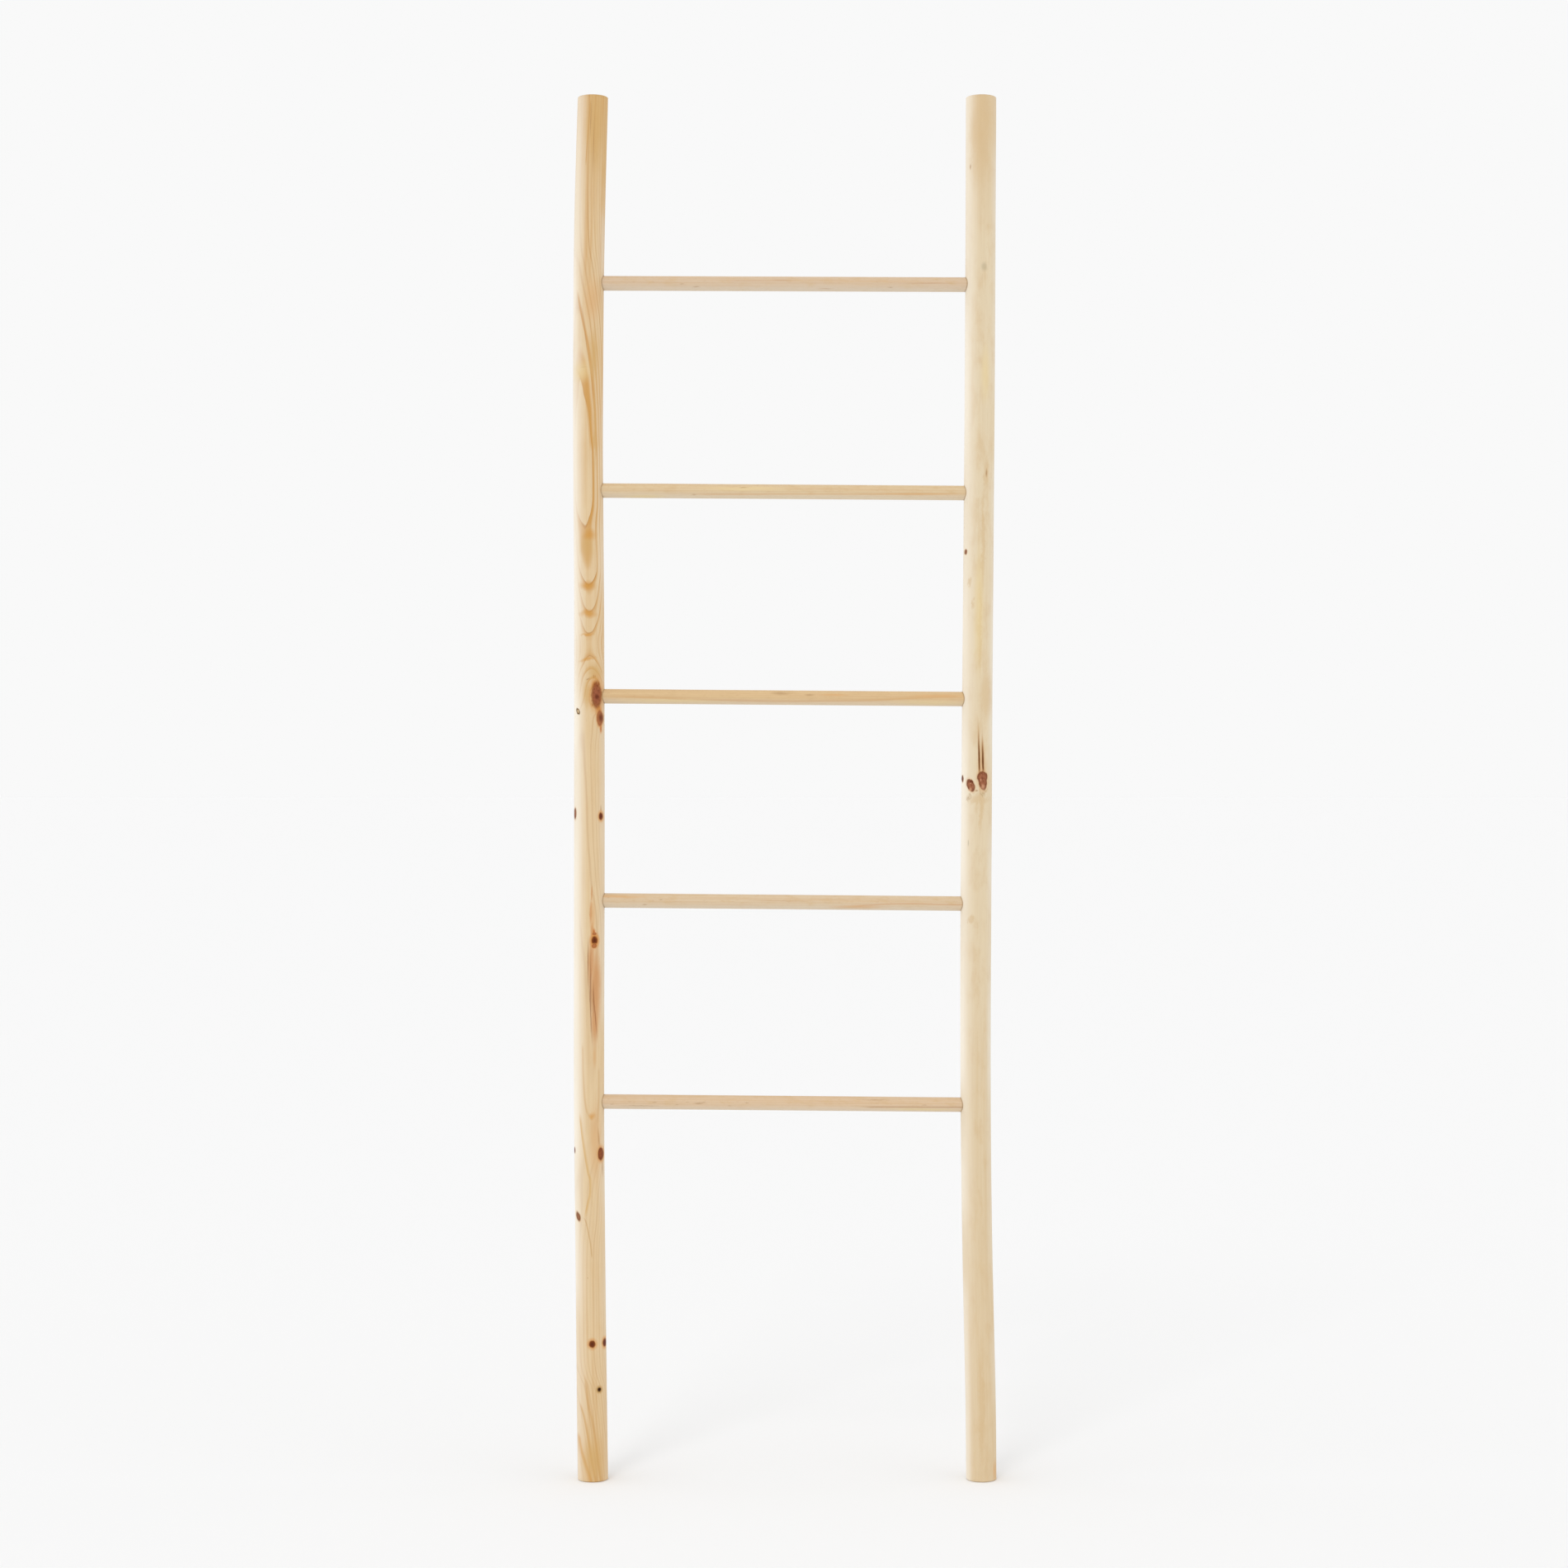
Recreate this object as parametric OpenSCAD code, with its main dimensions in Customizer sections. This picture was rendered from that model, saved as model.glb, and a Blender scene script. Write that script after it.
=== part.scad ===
// Blanket ladder: two slightly crooked round rails, five round rungs glued into
// blind sockets, and a small brad driven through the back of every joint.
// Millimetres, +Z up. The origin is on the floor, midway between the rails' outermost points.
// The front faces -Y, and rung_1 is the lowest rung.

/* [Rails] */
// Length of a rail, foot to top
rail_len = 1800; // [1650:5:2100]
// Diameter of a rail
rail_d = 40; // [34:0.5:52]
// Distance between the rails' centres at their ends
rail_spread = 506; // [380:2:640]
// Rounding of the sawn edge at each end of a rail
end_round = 2; // [0.5:0.5:4]
// How strongly the rails bend, as a share of their natural bend
bend_share = 1; // [0:0.1:1.5]

/* [Rungs] */
// Diameter of a rung
rung_d = 19; // [15:0.5:24]
// Height of the lowest rung's left end
lowest_rung = 492; // [300:2:520]
// Rise from rung 1 to rung 2
bay_1 = 262; // [200:1:280]
// Rise from rung 2 to rung 3
bay_2 = 266; // [200:1:280]
// Rise from rung 3 to rung 4
bay_3 = 268; // [200:1:280]
// Rise from rung 4 to rung 5
bay_4 = 270; // [200:1:280]
// Chamfer at each end of a rung
rung_chamfer = 1; // [0.5:0.1:2]

/* [Joints] */
// How far a socket is drilled past the middle of its rail
socket_past = 6; // [4:0.5:9]
// Glue line around a rung in its socket
glue_line = 0.15; // [0.05:0.05:0.3]
// Gap between a rung's end and the bottom of its socket
end_gap = 0.3; // [0.1:0.1:0.8]

/* [Brads] */
// Length of a brad, head included
brad_len = 25; // [20:1:28]
// Diameter of a brad's shank
brad_d = 1.6; // [1.2:0.1:2.4]
// Diameter of a brad's head
brad_head_d = 2.6; // [2.5:0.1:4]
// Thickness of a brad's head
brad_head_t = 1.2; // [0.8:0.1:2]
// How far the head is set below the wood
brad_set = 0.6; // [0.2:0.1:1.5]

/* [Hidden] */

rail_sides = 36;
ring_gap = 40;
round_steps = 3;
round_fn = 48;

rail_r = rail_d / 2;
rung_r = rung_d / 2;
socket_r = rung_r + glue_line;

// Natural bend of each rail: [share of its length, how far its centre lies to the right].
left_bend = [
    [0, 0], [0.1, -2.3], [0.175, -3.7], [0.27, -5.1], [0.47, -4.6],
    [0.64, -5.1], [0.75, -6.5], [0.85, -5.8], [0.925, -3.8], [1, 0]
];
right_bend = [
    [0, 0], [0.06, -1.1], [0.12, -3.6], [0.19, -6], [0.26, -7.3],
    [0.37, -7.5], [0.53, -5.7], [0.64, -4.1], [0.75, -2.6], [0.86, -1.5], [1, -0.4]
];
// Natural swell of each rail: [share of its length, how much its radius differs].
left_swell = [[0, 0.1], [0.15, -0.4], [0.35, 0.1], [0.48, 0.3], [0.62, -0.1], [0.75, -0.3], [0.9, 0.2], [1, 0]];
right_swell = [[0, 0], [0.2, -0.1], [0.4, 0.3], [0.6, 0.1], [0.8, -0.1], [1, 0]];

// How much lower each rung's right end sits than its left end, from rung 1 up.
rung_drop = [4.5, 4.5, 4, 3.5, 2];

rung_z = [
    lowest_rung,
    lowest_rung + bay_1,
    lowest_rung + bay_1 + bay_2,
    lowest_rung + bay_1 + bay_2 + bay_3,
    lowest_rung + bay_1 + bay_2 + bay_3 + bay_4
];

// Smooth value at share t of a rail, through stations of [share, value].
function segment(stations, t, i = 0) =
    i >= len(stations) - 2 || t < stations[i + 1][0] ? i : segment(stations, t, i + 1);
function slope(stations, i) =
    let (a = stations[max(i - 1, 0)], b = stations[min(i + 1, len(stations) - 1)])
    (b[1] - a[1]) / (b[0] - a[0]);
function smooth(stations, t) =
    let (
        i = segment(stations, t),
        a = stations[i],
        b = stations[i + 1],
        h = b[0] - a[0],
        u = (t - a[0]) / h
    )
    (2 * u ^ 3 - 3 * u ^ 2 + 1) * a[1] + (u ^ 3 - 2 * u ^ 2 + u) * h * slope(stations, i)
    + (3 * u ^ 2 - 2 * u ^ 3) * b[1] + (u ^ 3 - u ^ 2) * h * slope(stations, i + 1);

// The rings that a rail is built of, foot to top: [height, how far it is drawn in].
// The first and last few turn the rounded edge of the sawn end.
straight_len = rail_len - 2 * end_round;
ring_count = ceil(straight_len / ring_gap);
foot_rings = [
    for (k = [0:round_steps - 1])
    let (a = 90 * k / round_steps)
    [end_round * (1 - cos(a)), end_round * (1 - sin(a))]
];
middle_rings = [for (k = [0:ring_count]) [end_round + straight_len * k / ring_count, 0]];
top_rings = [for (k = [round_steps - 1:-1:0]) [rail_len - foot_rings[k][0], foot_rings[k][1]]];
rings = concat(foot_rings, middle_rings, top_rings);

// How far a rail's centre lies to the right of its foot, and its radius, at height z.
function bend_at(bend, z) = bend_share * smooth(bend, z / rail_len);
function radius_at(swell, z) = rail_r + smooth(swell, z / rail_len);

// The feet stand where the outermost points of the two rails are equally far from the origin.
left_reach = max([for (ring = middle_rings) radius_at(left_swell, ring[0]) - bend_at(left_bend, ring[0])]);
right_reach = max([for (ring = middle_rings) radius_at(right_swell, ring[0]) + bend_at(right_bend, ring[0])]);
pair_shift = (left_reach - right_reach) / 2;
left_foot_x = pair_shift - rail_spread / 2;
right_foot_x = pair_shift + rail_spread / 2;

// Where the axes of rung i meet the axes of the rails.
function left_end(i) = let (z = rung_z[i]) [left_foot_x + bend_at(left_bend, z), 0, z];
function right_end(i) = let (z = rung_z[i] - rung_drop[i]) [right_foot_x + bend_at(right_bend, z), 0, z];

// One crooked round rail as a stack of rings, with its foot on z = 0.
module rail_blank(foot_x, bend, swell) {
    points = [
        for (ring = rings, k = [0:rail_sides - 1])
        let (
            r = radius_at(swell, ring[0]) - ring[1],
            a = 360 * k / rail_sides
        )
        [foot_x + bend_at(bend, ring[0]) + r * cos(a), r * sin(a), ring[0]]
    ];
    last = (len(rings) - 1) * rail_sides;
    faces = concat(
        [[for (k = [0:rail_sides - 1]) k]],
        [[for (k = [rail_sides - 1:-1:0]) last + k]],
        [
            for (i = [0:len(rings) - 2], k = [0:rail_sides - 1])
            let (a = i * rail_sides + k, b = i * rail_sides + (k + 1) % rail_sides)
            each [[a, a + rail_sides, b], [b, a + rail_sides, b + rail_sides]]
        ]
    );
    polyhedron(points, faces, convexity = 4);
}

// Turns +Z of its children from point a towards point b, starting at a.
module aim(a, b) {
    d = b - a;
    translate(a)
        rotate([0, acos(d[2] / norm(d)), atan2(d[1], d[0])])
            children();
}

// Round blind hole for one end of a rung, whose axis meets the rail's at a, open towards b.
module socket(a, b) {
    aim(a, b)
        translate([0, 0, -socket_past])
            cylinder(h = socket_past + rail_d, r = socket_r, $fn = round_fn);
}

// One brad, driven from the back of the rail through the joint at point a.
module brad(a) {
    translate([a[0], rail_r - brad_set, a[2]])
        rotate([90, 0, 0]) {
            cylinder(h = brad_head_t, d = brad_head_d, $fn = round_fn);
            cylinder(h = brad_len, d = brad_d, $fn = round_fn);
        }
}

// The hole that a brad leaves, open to the back of the rail.
module brad_hole(a) {
    brad(a);
    translate([a[0], rail_r - brad_set, a[2]])
        rotate([-90, 0, 0])
            cylinder(h = rail_r, d = brad_head_d, $fn = round_fn);
}

module left_rail() {
    color("burlywood")
        difference() {
            rail_blank(left_foot_x, left_bend, left_swell);
            for (i = [0:len(rung_z) - 1]) {
                socket(left_end(i), right_end(i));
                brad_hole(left_end(i));
            }
        }
}

module right_rail() {
    color("wheat")
        difference() {
            rail_blank(right_foot_x, right_bend, right_swell);
            for (i = [0:len(rung_z) - 1]) {
                socket(right_end(i), left_end(i));
                brad_hole(right_end(i));
            }
        }
}

// A dowel with chamfered ends, from socket to socket.
module rung(i) {
    a = left_end(i);
    b = right_end(i);
    past = socket_past - end_gap;
    length = norm(b - a) + 2 * past;
    color("tan")
        difference() {
            aim(a, b)
                translate([0, 0, -past])
                    rotate_extrude($fn = round_fn)
                        polygon([
                            [0, 0],
                            [rung_r - rung_chamfer, 0],
                            [rung_r, rung_chamfer],
                            [rung_r, length - rung_chamfer],
                            [rung_r - rung_chamfer, length],
                            [0, length]
                        ]);
            brad(a);
            brad(b);
        }
}

module rung_brads() {
    color("silver")
        for (i = [0:len(rung_z) - 1]) {
            brad(left_end(i));
            brad(right_end(i));
        }
}

left_rail();
right_rail();
rung(0);  // rung_1
rung(1);  // rung_2
rung(2);  // rung_3
rung(3);  // rung_4
rung(4);  // rung_5
rung_brads();
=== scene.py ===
"""A blanket ladder: two crooked round pine poles with five dowels let into them.

Everything is in metres, +Z up, with the front facing -Y. Each pole and dowel is modelled along the
middle line of the solid that it stands for. The wood's grain and knots are drawn in millimetres:
"side" is how far a point lies to the right of a pole's middle line or above a dowel's, "back" how
far behind it, and "along" how far up the pole or how far right of the ladder's middle.
"""

from dataclasses import dataclass, field
from functools import reduce
from math import cos, pi, radians, sin

import bpy
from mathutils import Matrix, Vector


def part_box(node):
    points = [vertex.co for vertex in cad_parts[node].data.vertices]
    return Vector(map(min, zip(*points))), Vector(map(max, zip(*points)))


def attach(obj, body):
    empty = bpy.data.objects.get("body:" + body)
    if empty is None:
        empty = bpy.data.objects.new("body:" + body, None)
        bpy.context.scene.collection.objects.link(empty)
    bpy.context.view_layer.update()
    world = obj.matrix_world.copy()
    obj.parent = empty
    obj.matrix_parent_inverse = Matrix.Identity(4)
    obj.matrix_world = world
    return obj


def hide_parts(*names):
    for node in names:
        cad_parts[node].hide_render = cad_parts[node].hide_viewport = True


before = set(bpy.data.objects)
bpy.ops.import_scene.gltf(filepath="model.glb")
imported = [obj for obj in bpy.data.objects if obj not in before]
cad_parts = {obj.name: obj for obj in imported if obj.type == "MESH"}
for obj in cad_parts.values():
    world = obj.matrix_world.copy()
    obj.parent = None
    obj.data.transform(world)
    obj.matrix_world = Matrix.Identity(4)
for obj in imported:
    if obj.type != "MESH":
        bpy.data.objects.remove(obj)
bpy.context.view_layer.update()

# Reading the solids: corners that round to the same height or place are taken as one
HEIGHT_DECIMALS = 5
PLACE_DECIMALS = 6
# The fewest corners that are left of a pole's ring where a socket cuts into it
RING_CORNERS = 24
# How far apart in depth the corners of one flat face may lie
SAME_DEPTH = 0.00001
# The slice of a dowel that is measured at each end
END_SLICE = 0.0025

# The poles
POLE_SIDES = 32
POLE_SMOOTHING = 2
# Rings that turn the rounded edge at each end
EDGE_RINGS = 3
END_INSET = 0.0012
HAND_SHAVING = 0.0006
SHAVING_WIDTH = 0.03
SHAVING_STRETCH = 14
# How far a pole's top stays below its solid's, so that rounding never lifts it above
TOP_EASING = 0.000001

# The sockets in the poles, with room for glue round a dowel and a gap past its end
HOLE_SIDES = 64
GLUE_LINE = 0.00015
END_GAP = 0.0003
SOCKET_REACH = 0.05

# The brads' holes, whose cutters reach out of the back
BRAD_SIDES = 32
BRAD_RADIUS = 0.0008
BRAD_HEAD_RADIUS = 0.0013
BRAD_HEAD_LENGTH = 0.0012
BRAD_FIT = 0.00005
BRAD_WAY_OUT = 0.003

# The dowels
DOWEL_SIDES = 64
DOWEL_RINGS = 24
DOWEL_CHAMFER = 0.001
CHAMFER_STEPS = 2

# How squarely a face looks along an axis if it is an end
END_ON = 0.99
SMOOTH_ANGLE = radians(35)


# ---------------------------------------------------------------- the solids' own sizes


def corners_of(node):
    """Every corner of a solid's mesh."""
    return [v.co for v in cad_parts[node].data.vertices]


def pole_rings(node, outward):
    """(height, middle, radius) of each ring that a pole's solid is built of, from the foot up.

    The sockets cut only the inner side, so the outer side, +1 or -1, and the back give each ring.
    """
    rings = {}
    for corner in corners_of(node):
        place = (round(corner.x, PLACE_DECIMALS), round(corner.y, PLACE_DECIMALS))
        rings.setdefault(round(corner.z, HEIGHT_DECIMALS), set()).add(place)
    found = []
    for height, ring in sorted(rings.items()):
        if len(ring) >= RING_CORNERS:
            radius = max(y for x, y in ring)
            found.append((height, outward * (max(outward * x for x, y in ring) - radius), radius))
    top, middle, radius = found[-1]
    return [*found[:-1], (top - TOP_EASING, middle, radius)]


def dowel_ends(node):
    """The middles of a dowel's left and right end, and its radius."""
    low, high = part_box(node)
    ends = []
    for x in (low.x, high.x):
        heights = [corner.z for corner in corners_of(node) if abs(corner.x - x) < END_SLICE]
        ends.append(Vector((x, 0, (min(heights) + max(heights)) / 2)))
    return ends[0], ends[1], (high.y - low.y) / 2


def brad_places():
    """The middle of each brad's head, at its back face, and the depth that its point reaches."""
    low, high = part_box("rung_brads")
    heads = [corner for corner in corners_of("rung_brads") if high.y - corner.y < SAME_DEPTH]
    places = []
    while heads:
        # No other brad is as near as this
        head = [corner for corner in heads if (corner - heads[0]).length < 3 * BRAD_HEAD_RADIUS]
        heads = [corner for corner in heads if corner not in head]
        xs = [corner.x for corner in head]
        zs = [corner.z for corner in head]
        places.append(Vector(((min(xs) + max(xs)) / 2, high.y, (min(zs) + max(zs)) / 2)))
    return places, low.y


DOWELS = {f"dowel_{i}": dowel_ends(f"rung_{i}") for i in range(1, 6)}
POLES = {"left_pole": pole_rings("left_rail", -1), "right_pole": pole_rings("right_rail", 1)}
BRADS, BRAD_POINT = brad_places()


def brads_of(dowel_end, radius):
    """The brads that pin one dowel."""
    return [brad for brad in BRADS if abs(brad.z - dowel_end.z) < radius]


# ---------------------------------------------------------------- modelling


def start(add, **settings):
    """Adds a primitive with nothing else selected and opens it for editing."""
    bpy.ops.object.select_all(action="DESELECT")
    add(enter_editmode=True, **settings)
    return bpy.context.object


def put_down(piece, name):
    """Closes a piece, turns its faces outwards and moves its place into its mesh."""
    bpy.ops.mesh.select_all(action="SELECT")
    bpy.ops.mesh.normals_make_consistent(inside=False)
    bpy.ops.object.mode_set(mode="OBJECT")
    bpy.ops.object.transform_apply(location=True, rotation=True, scale=True)
    piece.name = piece.data.name = name
    return piece


def apply(piece, kind, **settings):
    """Adds one modifier and applies it."""
    bpy.ops.object.select_all(action="DESELECT")
    bpy.context.view_layer.objects.active = piece
    modifier = piece.modifiers.new(kind.title(), kind)
    for name, value in settings.items():
        setattr(modifier, name, value)
    bpy.ops.object.modifier_apply(modifier=modifier.name)


def edit(piece, wanted):
    """Opens a piece for editing with only the wanted faces selected."""
    bpy.ops.object.select_all(action="DESELECT")
    bpy.context.view_layer.objects.active = piece
    bpy.ops.object.mode_set(mode="EDIT")
    bpy.ops.mesh.select_mode(type="FACE")
    bpy.ops.mesh.select_all(action="DESELECT")
    bpy.ops.object.mode_set(mode="OBJECT")
    for face in piece.data.polygons:
        face.select = wanted(face)
    bpy.ops.object.mode_set(mode="EDIT")


def shave(piece, is_side):
    """Shaves the sides in long shallow strokes, and leaves the ends as sawn."""
    cloud = bpy.data.textures.new("strokes", "CLOUDS")
    cloud.noise_scale = SHAVING_WIDTH
    cloud.noise_depth = 1
    strokes = bpy.data.objects.new("strokes", None)
    strokes.scale = (1, 1, SHAVING_STRETCH)
    bpy.context.collection.objects.link(strokes)
    bpy.context.view_layer.update()
    sides = piece.vertex_groups.new(name="sides")
    sides.add([v.index for v in piece.data.vertices if is_side(v.co)], 1, "REPLACE")
    apply(
        piece, "DISPLACE", texture=cloud, texture_coords="OBJECT", texture_coords_object=strokes,
        mid_level=1, strength=HAND_SHAVING, vertex_group="sides",
    )
    piece.vertex_groups.clear()
    bpy.data.objects.remove(strokes)
    bpy.data.textures.remove(cloud)


def make_pole(name, rings):
    """A crooked round pole: a disc drawn up ring by ring, smoothed and shaved by hand."""
    # Smoothing draws a ring of corners in by this factor
    swell = 3 / (2 + cos(2 * pi / POLE_SIDES))
    height, middle, radius = rings[0]
    pole = start(
        bpy.ops.mesh.primitive_circle_add, vertices=POLE_SIDES, radius=radius * swell,
        fill_type="NGON", location=(middle, 0, height),
    )
    for next_height, next_middle, next_radius in rings[1:]:
        rise = (next_middle - middle, 0, next_height - height)
        bpy.ops.mesh.extrude_region_move(TRANSFORM_OT_translate={"value": rise})
        size = next_radius / radius
        bpy.ops.transform.resize(value=(size, size, 1), center_override=(next_middle, 0, next_height))
        height, middle, radius = next_height, next_middle, next_radius
    put_down(pole, name)
    edit(pole, lambda face: abs(face.normal.z) > END_ON)
    bpy.ops.mesh.inset(thickness=END_INSET)
    bpy.ops.object.mode_set(mode="OBJECT")
    apply(pole, "SUBSURF", levels=POLE_SMOOTHING, render_levels=POLE_SMOOTHING)
    foot_edge, top_edge = rings[EDGE_RINGS][0], rings[-1 - EDGE_RINGS][0]
    shave(pole, lambda place: foot_edge < place.z < top_edge)
    return pole


def make_socket(at, towards, radius):
    """A round cutter that starts at a point and runs towards another."""
    way = (towards - at).normalized()
    cutter = start(
        bpy.ops.mesh.primitive_cylinder_add, vertices=HOLE_SIDES, radius=radius, depth=SOCKET_REACH,
        location=at + way * SOCKET_REACH / 2, rotation=way.to_track_quat("Z", "Y").to_euler(),
    )
    return put_down(cutter, "cutter")


def cut(piece, cutters):
    """Cuts all the cutters out of a piece at once."""
    bpy.ops.object.select_all(action="DESELECT")
    for cutter in cutters:
        cutter.select_set(True)
    bpy.context.view_layer.objects.active = cutters[0]
    bpy.ops.object.join()
    apply(piece, "BOOLEAN", object=cutters[0], operation="DIFFERENCE", solver="EXACT")
    bpy.data.objects.remove(cutters[0])


def drill_sockets(pole, dowels, inward):
    """Drills a pole for its dowels, given as (left end, right end, radius).

    inward is 1 where they run to the right of the pole, and -1 where they run to its left.
    """
    cutters = []
    for left, right, radius in dowels:
        end, far = (left, right)[::inward]
        way = (far - end).normalized()
        cutters.append(make_socket(end - way * END_GAP, far, radius + GLUE_LINE))
    cut(pole, cutters)


def drill_for_brads(piece, heads):
    """Drills a piece for its brads, wide for the head and narrow for the shank, open at the back."""
    shank = BRAD_RADIUS + BRAD_FIT
    widen = (BRAD_HEAD_RADIUS + BRAD_FIT) / shank
    way_out = (0, BRAD_HEAD_LENGTH + BRAD_WAY_OUT, 0)
    cutters = []
    for head in heads:
        cutter = start(
            bpy.ops.mesh.primitive_circle_add, vertices=BRAD_SIDES, radius=shank, fill_type="NGON",
            location=(head.x, BRAD_POINT - BRAD_FIT, head.z), rotation=(-pi / 2, 0, 0),
        )
        neck = (0, head.y - BRAD_HEAD_LENGTH - BRAD_POINT, 0)
        bpy.ops.mesh.extrude_region_move(TRANSFORM_OT_translate={"value": neck})
        bpy.ops.mesh.extrude_region_move()
        bpy.ops.transform.resize(value=(widen, 1, widen), center_override=(head.x, 0, head.z))
        bpy.ops.mesh.extrude_region_move(TRANSFORM_OT_translate={"value": way_out})
        cutters.append(put_down(cutter, "cutter"))
    cut(piece, cutters)


def make_dowel(name, left, right, radius):
    """A straight round dowel with chamfered ends."""
    step = (right - left) / DOWEL_RINGS
    dowel = start(
        bpy.ops.mesh.primitive_circle_add, vertices=DOWEL_SIDES, radius=radius, fill_type="NGON",
        location=left, rotation=step.to_track_quat("Z", "Y").to_euler(),
    )
    for _ in range(DOWEL_RINGS):
        bpy.ops.mesh.extrude_region_move(TRANSFORM_OT_translate={"value": step})
    put_down(dowel, name)
    edit(dowel, lambda face: abs(face.normal.x) > END_ON)
    bpy.ops.mesh.region_to_loop()
    bpy.ops.mesh.bevel(offset=DOWEL_CHAMFER, segments=CHAMFER_STEPS, affect="EDGES")
    bpy.ops.object.mode_set(mode="OBJECT")
    return dowel


def finish_piece(piece, node, material):
    """Smooths a piece's shading, gives it its finish and puts it in its solid's place."""
    bpy.ops.object.select_all(action="DESELECT")
    piece.select_set(True)
    bpy.context.view_layer.objects.active = piece
    bpy.ops.object.shade_smooth_by_angle(angle=SMOOTH_ANGLE)
    piece.data.materials.clear()
    piece.data.materials.append(material)
    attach(piece, "root")
    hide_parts(node)


# ---------------------------------------------------------------- shader maths


class Wire:
    """An output of a shader node. Sums and products of wires add Math nodes to its material."""

    def __init__(self, socket):
        self.socket = socket

    def node(self, kind, inputs, output=0, curve=(), **settings):
        """Adds a node, set up first and then fed with values or wires, and gives one output."""
        tree = self.socket.id_data
        made = tree.nodes.new("ShaderNode" + kind)
        for name, value in settings.items():
            setattr(made, name, value)
        if curve:
            points = made.mapping.curves[0].points
            for _ in curve[2:]:
                points.new(0.5, 0.5)
            for point, place in zip(points, curve):
                point.location = place
                point.handle_type = "AUTO_CLAMPED"
            made.mapping.update()
        for name, value in inputs.items():
            if isinstance(value, Wire):
                tree.links.new(value.socket, made.inputs[name])
            else:
                made.inputs[name].default_value = value
        return Wire(made.outputs[output])

    def math(self, operation, *others):
        """One Math node, fed with this wire and the others in their order."""
        return self.node("Math", dict(enumerate((self, *others))), operation=operation)

    def __add__(self, other):
        return self.math("ADD", other)

    def __sub__(self, other):
        return self.math("SUBTRACT", other)

    def __rsub__(self, other):
        return self.node("Math", {0: other, 1: self}, operation="SUBTRACT")

    def __mul__(self, other):
        return self.math("MULTIPLY", other)

    def __truediv__(self, other):
        return self.math("DIVIDE", other)

    def __rtruediv__(self, other):
        return self.node("Math", {0: other, 1: self}, operation="DIVIDE")

    __radd__ = __add__
    __rmul__ = __mul__


def xyz(x, y, z):
    """A vector from three wires or numbers, of which one at least is a wire."""
    wire = next(part for part in (x, y, z) if isinstance(part, Wire))
    return wire.node("CombineXYZ", {"X": x, "Y": y, "Z": z})


def length(vector):
    """The length of a vector."""
    return vector.node("VectorMath", {0: vector}, output="Value", operation="LENGTH")


def fade(value, low, high):
    """0 below low, 1 above high and smooth in between."""
    limits = {"Value": value, "From Min": low, "From Max": high}
    return value.node("MapRange", limits, interpolation_type="SMOOTHSTEP")


def noise(place, detail=3, roughness=0.5):
    """Smooth noise from 0 to 1, with a wave about as long as one unit of place."""
    settings = {"Vector": place, "Scale": 1, "Detail": detail, "Roughness": roughness}
    return place.node("TexNoise", settings, output="Fac")


def follow(value, points):
    """The height of a smooth line through (value, height) points, level beyond its ends."""
    points = sorted(points)
    first, last = points[0][0], points[-1][0]
    heights = [height for _, height in points]
    low = min(heights)
    span = max(heights) - low or 1
    curve = [((place - first) / (last - first), (height - low) / span) for place, height in points]
    limits = {"Value": value, "From Min": first, "From Max": last}
    share = value.node("MapRange", limits)
    return share.node("FloatCurve", {"Value": share}, curve=curve) * span + low


def mix(share, below, above):
    """One colour turned into another by a share."""
    # A Mix node takes its colours in sockets 6 and 7, and gives a colour in its output 2
    settings = {"Factor": share, 6: below, 7: above}
    return share.node("Mix", settings, output=2, data_type="RGBA")


def rgba(red, green, blue):
    """A colour given 0 to 255, as the linear colour that the shader needs."""
    shares = [part / 255 for part in (red, green, blue)]
    return (*(s / 12.92 if s <= 0.04045 else ((s + 0.055) / 1.055) ** 2.4 for s in shares), 1)


# ---------------------------------------------------------------- how the wood is drawn


@dataclass
class Mark:
    """An oval on the front or the back of a stick, turned clockwise by so many degrees."""

    side: float
    along: float
    width: float
    height: float
    turn: float = 0


@dataclass
class Seam:
    """A line drawn along a stick through (along, side) places.

    It is strongest on its way, and fades out over so many millimetres below it and above it, which
    on a pole is to its left and to its right.
    """

    places: list
    below: float
    above: float
    strength: float
    colour: tuple


@dataclass
class PaintedLightFlank:
    """Painted light: colour painted paler on one side of a stick, from none at one distance from its
    middle to full at another.

    It paints a highlight on a pole's left side, which on the left pole is partly the wood's own
    paler side, a painted sheen along a pole's rims, and painted floor light on a dowel's underside.
    share is how much paler it is, and changes along the stick.
    """

    none: float
    full: float
    tone: tuple
    share: list


@dataclass
class Swelling:
    """Where the rings bulge out round a knot, by so many rings in its middle."""

    mark: Mark
    rings: float


def even(height):
    """A line that stays at one height all along a stick."""
    return [(0, height), (1, height)]


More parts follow.
